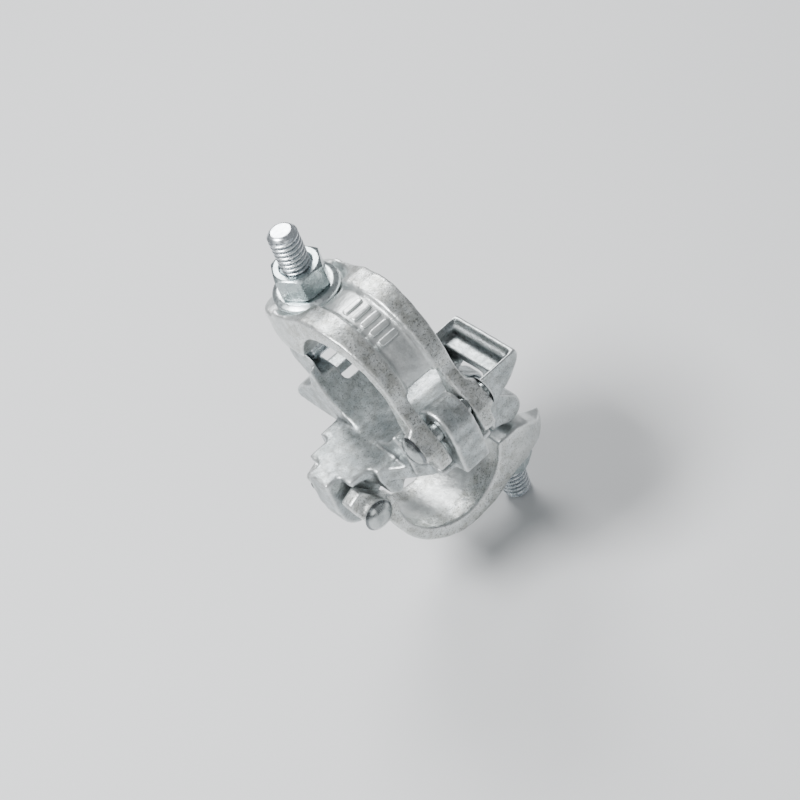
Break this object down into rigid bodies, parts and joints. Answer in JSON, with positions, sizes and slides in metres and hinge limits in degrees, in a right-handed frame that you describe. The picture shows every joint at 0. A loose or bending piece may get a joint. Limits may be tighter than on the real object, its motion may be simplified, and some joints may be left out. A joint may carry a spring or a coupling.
{
  "type": "right-angle scaffold coupler",
  "caption": "Drop-forged right-angle coupler: two crossed saddles with hinged caps, each closed by a swinging T-bolt with washer and nut, for clamping two round scaffold tubes at 90 degrees.",
  "frame": {"origin": "centre of the lower tube seat, on the lower tube's axis", "axes": "+Y along the lower tube, away from the upper cap's hinge; +X along the upper tube, away from the lower cap's hinge; +Z from the lower tube to the upper tube"},
  "size_m": [0.0964, 0.0964, 0.1622],
  "materials": {
    "forged_steel_body": "galvanised, matte blue-grey forging skin",
    "forged_steel_cap": "galvanised, silver-grey with mottled rails",
    "zinc_plated_bolt": "bright zinc plated",
    "zinc_plated_nut": "bright zinc plated",
    "zinc_plated_washer": "bright zinc plated",
    "zinc_plated_rivet": "bright zinc plated, lightly worn"
  },
  "bodies": {
    "body": {"body": "forged_steel_body", "upper_hinge_rivet": "zinc_plated_rivet", "lower_hinge_rivet": "zinc_plated_rivet"},
    "upper_cap": {"upper_cap": "forged_steel_cap"},
    "upper_t_bolt": {"upper_t_bolt": "zinc_plated_bolt"},
    "upper_washer": {"upper_washer": "zinc_plated_washer"},
    "upper_nut": {"upper_nut": "zinc_plated_nut"},
    "lower_cap": {"lower_cap": "forged_steel_cap"},
    "lower_t_bolt": {"lower_t_bolt": "zinc_plated_bolt"},
    "lower_washer": {"lower_washer": "zinc_plated_washer"},
    "lower_nut": {"lower_nut": "zinc_plated_nut"}
  },
  "joints": [
    {"name": "upper_t_bolt_swing", "type": "hinge", "parent": "body", "child": "upper_t_bolt", "pos_m": [0, 0.0345, 0.051], "axis": [-1, 0, 0], "range_deg": [0, 75]},
    {"name": "upper_washer_lift", "type": "slide", "parent": "upper_t_bolt", "child": "upper_washer", "axis": [0, -0.0436, 0.999], "range_m": [0, 0.0148]},
    {"name": "upper_nut_turn", "type": "hinge", "parent": "upper_washer", "child": "upper_nut", "pos_m": [0, 0.0345, 0.051], "axis": [0, -0.0436, 0.999], "range_deg": [0, 2520]},
    {"name": "upper_cap_swing", "type": "hinge", "parent": "body", "child": "upper_cap", "pos_m": [0, -0.0347, 0.043], "axis": [1, 0, 0], "range_deg": [0, 8.1]},
    {"name": "lower_t_bolt_swing", "type": "hinge", "parent": "body", "child": "lower_t_bolt", "pos_m": [0.0345, 0, 0.003], "axis": [0, -1, 0], "range_deg": [0, 75]},
    {"name": "lower_washer_lift", "type": "slide", "parent": "lower_t_bolt", "child": "lower_washer", "axis": [-0.0436, 0, -0.999], "range_m": [0, 0.0148]},
    {"name": "lower_nut_turn", "type": "hinge", "parent": "lower_washer", "child": "lower_nut", "pos_m": [0.0345, 0, 0.003], "axis": [-0.0436, 0, -0.999], "range_deg": [0, 2520]},
    {"name": "lower_cap_swing", "type": "hinge", "parent": "body", "child": "lower_cap", "pos_m": [-0.0347, 0, 0.011], "axis": [0, 1, 0], "range_deg": [0, 8.1]}
  ],
  "couplings": [
    {"joint": "upper_washer_lift", "follows": "upper_nut_turn", "m_per_rad": 0.00033423},
    {"joint": "upper_cap_swing", "follows": "upper_nut_turn", "ratio": 0.0031746},
    {"joint": "lower_washer_lift", "follows": "lower_nut_turn", "m_per_rad": 0.00033423},
    {"joint": "lower_cap_swing", "follows": "lower_nut_turn", "ratio": 0.0031746}
  ]
}
